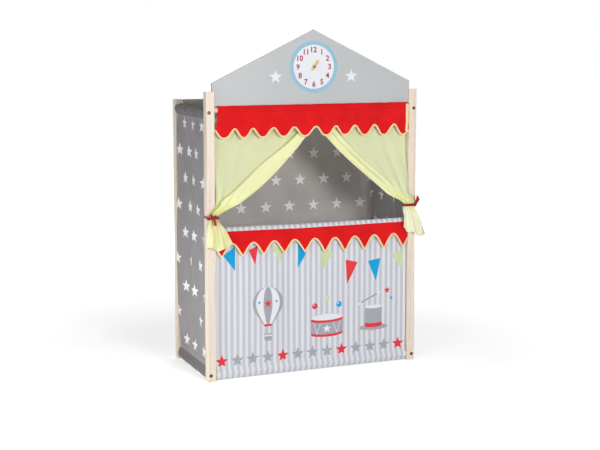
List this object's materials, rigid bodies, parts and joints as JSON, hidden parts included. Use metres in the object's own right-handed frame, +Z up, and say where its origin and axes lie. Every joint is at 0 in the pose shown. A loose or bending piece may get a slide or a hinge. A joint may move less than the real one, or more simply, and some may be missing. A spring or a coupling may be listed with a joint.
{
  "type": "puppet theatre",
  "caption": "Floor-standing puppet theatre: four-post wooden frame with round rails, a pitched gable board with a play clock, tied-back stage curtains, scalloped valances and cloth walls.",
  "frame": {"origin": "on the floor at the centre of the rectangle of the four posts", "axes": "+Z up, -Y the way the stage faces, +X to the audience's right"},
  "size_m": [0.6866, 0.3278, 0.968],
  "materials": {
    "post_wood": "matt lacquered pale beech",
    "rail_wood": "sanded dowel",
    "gable_print": "printed satin board",
    "dark_steel": "bronzed steel",
    "bright_steel": "zinc plated",
    "brass": "turned",
    "stripe_cloth": "printed striped cotton",
    "red_cloth": "plain woven cotton",
    "lime_cloth": "light polyester",
    "star_cloth": "printed star cotton",
    "ribbon": "satin ribbon"
  },
  "bodies": {
    "frame": {"front_post_left": "post_wood", "front_post_right": "post_wood", "rear_post_left": "post_wood", "rear_post_right": "post_wood", "side_rail_top_left": "rail_wood", "side_rail_top_right": "rail_wood", "side_rail_bottom_left": "rail_wood", "side_rail_bottom_right": "rail_wood", "valance_rail": "rail_wood", "curtain_rod": "rail_wood", "counter_rail": "rail_wood", "front_bottom_rail": "rail_wood", "rear_rail_top": "rail_wood", "rear_rail_low": "rail_wood", "gable_board": "gable_print", "clock_screw": "dark_steel", "clock_washers": "bright_steel", "clock_nut": "bright_steel", "front_bolts": "dark_steel", "rear_bolts": "dark_steel", "rail_inserts": "brass", "rear_rail_screws": "bright_steel", "front_cloth": "stripe_cloth", "counter_valance": "red_cloth", "top_valance": "red_cloth", "curtain_tail_left": "lime_cloth", "curtain_tail_right": "lime_cloth", "tie_left": "ribbon", "tie_right": "ribbon", "side_cloth_left": "star_cloth", "side_cloth_right": "star_cloth", "back_cloth": "star_cloth"},
    "clock_hand": {"clock_hand": "rail_wood"},
    "left_curtain": {"curtain_left": "lime_cloth"},
    "right_curtain": {"curtain_right": "lime_cloth"}
  },
  "joints": [
    {"name": "hand_turn", "type": "hinge", "parent": "frame", "child": "clock_hand", "pos_m": [0, -0.1466, 0.865], "axis": [0, 1, 0], "continuous": true},
    {"name": "left_curtain_draw", "type": "slide", "parent": "frame", "child": "left_curtain", "axis": [-1, 0, 0], "range_m": [0, 0.2], "deforming": ["curtain_left"]},
    {"name": "right_curtain_draw", "type": "slide", "parent": "frame", "child": "right_curtain", "axis": [1, 0, 0], "range_m": [0, 0.2], "deforming": ["curtain_right"]}
  ]
}
